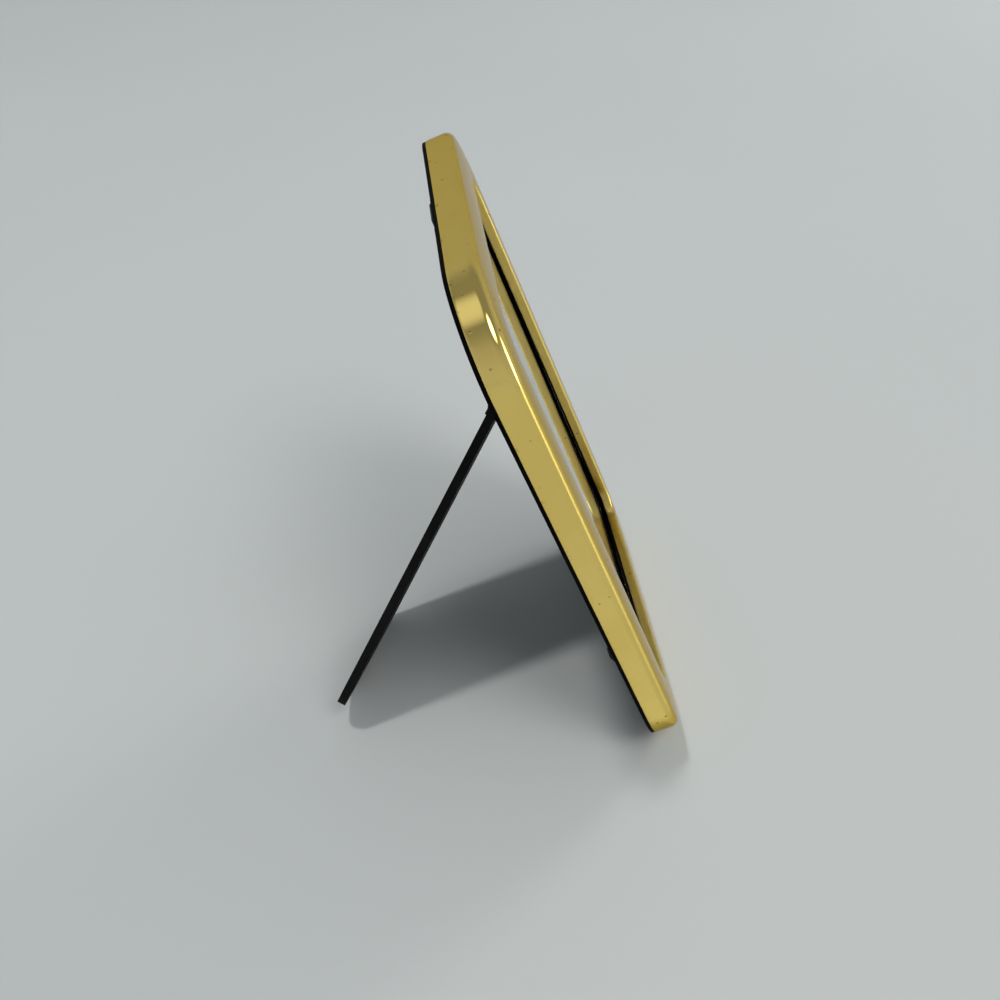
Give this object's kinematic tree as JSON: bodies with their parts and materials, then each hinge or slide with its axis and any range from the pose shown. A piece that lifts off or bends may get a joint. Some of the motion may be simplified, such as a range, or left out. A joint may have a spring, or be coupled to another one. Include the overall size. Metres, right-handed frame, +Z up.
{
  "type": "photo frame",
  "caption": "Upright photo frame with a polished brass rim and rounded corners. It leans back on a folding black leg; the back opens by turn buttons and has a saw-tooth hanger.",
  "frame": {"origin": "middle of the narrow level flat on which the rear lower edge stands", "axes": "+Z up, the picture faces -Y and leans back, +X to the right seen from the front"},
  "size_m": [0.1208, 0.1077, 0.1618],
  "materials": {
    "polished_brass": "polished, lightly tarnished and specked",
    "black_frame": "matte black",
    "clear_glass": "clear, glossy",
    "blank_print": "plain charcoal photo paper, satin",
    "grey_card": "plain grey board",
    "black_board": "black-faced hardboard",
    "black_metal": "matte black paint",
    "dark_steel": "blackened steel, worn at the edges"
  },
  "bodies": {
    "frame": {"rim": "polished_brass", "back_frame": "black_frame", "glass": "clear_glass", "photo_print": "blank_print", "filler_card": "grey_card", "back_panel": "black_board", "hinge_bracket": "black_metal", "hinge_pin": "dark_steel", "bracket_rivet_1": "black_metal", "bracket_rivet_2": "black_metal", "button_rivet_left": "dark_steel", "button_rivet_right": "dark_steel", "hanger": "black_metal", "hanger_rivet_left": "dark_steel", "hanger_rivet_right": "dark_steel"},
    "leg": {"leg_board": "black_board", "leg_leaf": "black_metal", "leaf_rivet_1": "black_metal", "leaf_rivet_2": "black_metal"},
    "button_left": {"turn_button_left": "black_metal"},
    "button_right": {"turn_button_right": "black_metal"}
  },
  "joints": [
    {"name": "leg_fold", "type": "hinge", "parent": "frame", "child": "leg", "pos_m": [0.021, 0.0394, 0.09048], "axis": [-0.866, 0.1827, 0.4654], "range_deg": [0, 49]},
    {"name": "button_left_turn", "type": "hinge", "parent": "frame", "child": "button_left", "pos_m": [-0.0556, 0.01896, 0.04758], "axis": [0, -0.9308, 0.3655], "continuous": true},
    {"name": "button_right_turn", "type": "hinge", "parent": "frame", "child": "button_right", "pos_m": [0.0556, 0.01896, 0.04758], "axis": [0, 0.9308, -0.3655], "continuous": true}
  ]
}
